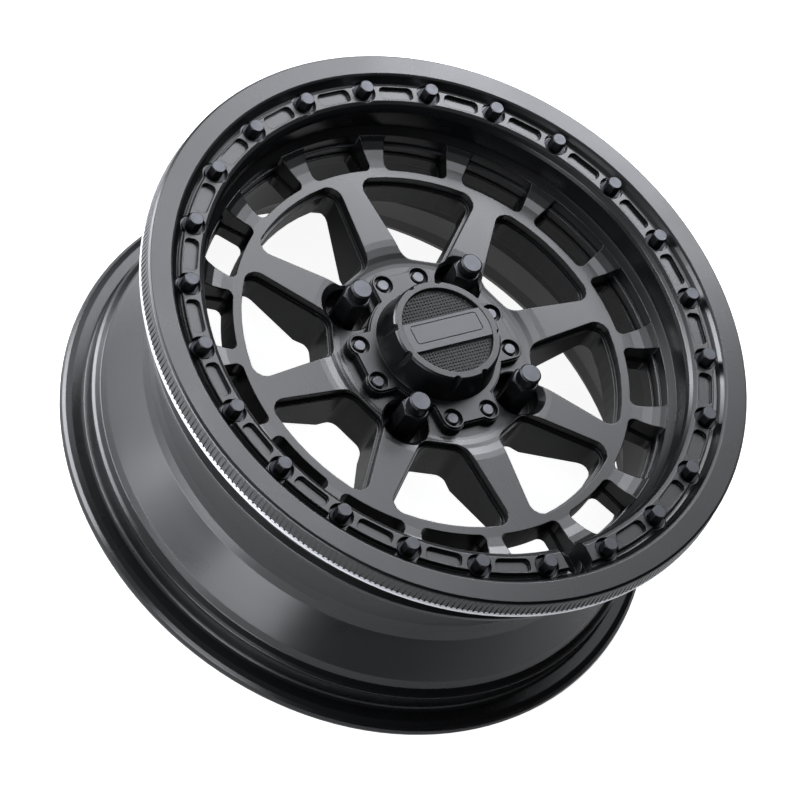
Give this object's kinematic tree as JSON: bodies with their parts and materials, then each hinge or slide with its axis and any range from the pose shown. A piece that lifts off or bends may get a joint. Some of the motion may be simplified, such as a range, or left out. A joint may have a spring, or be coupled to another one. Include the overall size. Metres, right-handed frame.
{
  "type": "beadlock wheel",
  "caption": "Cast off-road wheel with a bolted outer bead ring, deep spokes with stepped windows, long closed wheel nuts and a screwed centre cap with a woven badge.",
  "frame": {"origin": "centre of the hub mounting face, on the wheel's axis", "axes": "+Z along the wheel's axis out of its face; the slot for the tyre valve is towards -Y"},
  "size_m": [0.4711, 0.4712, 0.1989],
  "materials": {
    "casting_satin_black": "satin black coating on cast aluminium",
    "ring_satin_black": "satin black coating with a bare machined edge",
    "washer_steel": "dark plated",
    "bolt_black_steel": "black zinc",
    "nut_black_steel": "black chrome",
    "cap_satin_black": "satin black coating",
    "badge_weave": "woven pattern under gloss",
    "badge_bar_grey": "satin",
    "screw_steel": "dark plated"
  },
  "bodies": {
    "root": {"wheel_centre": "casting_satin_black", "wheel_barrel": "casting_satin_black", "beadlock_ring": "ring_satin_black", "ring_washers": "washer_steel", "ring_bolts": "bolt_black_steel", "wheel_nuts": "nut_black_steel", "centre_cap": "cap_satin_black", "cap_badge": "badge_weave", "badge_bar": "badge_bar_grey", "cap_screws": "screw_steel"}
  },
  "joints": []
}
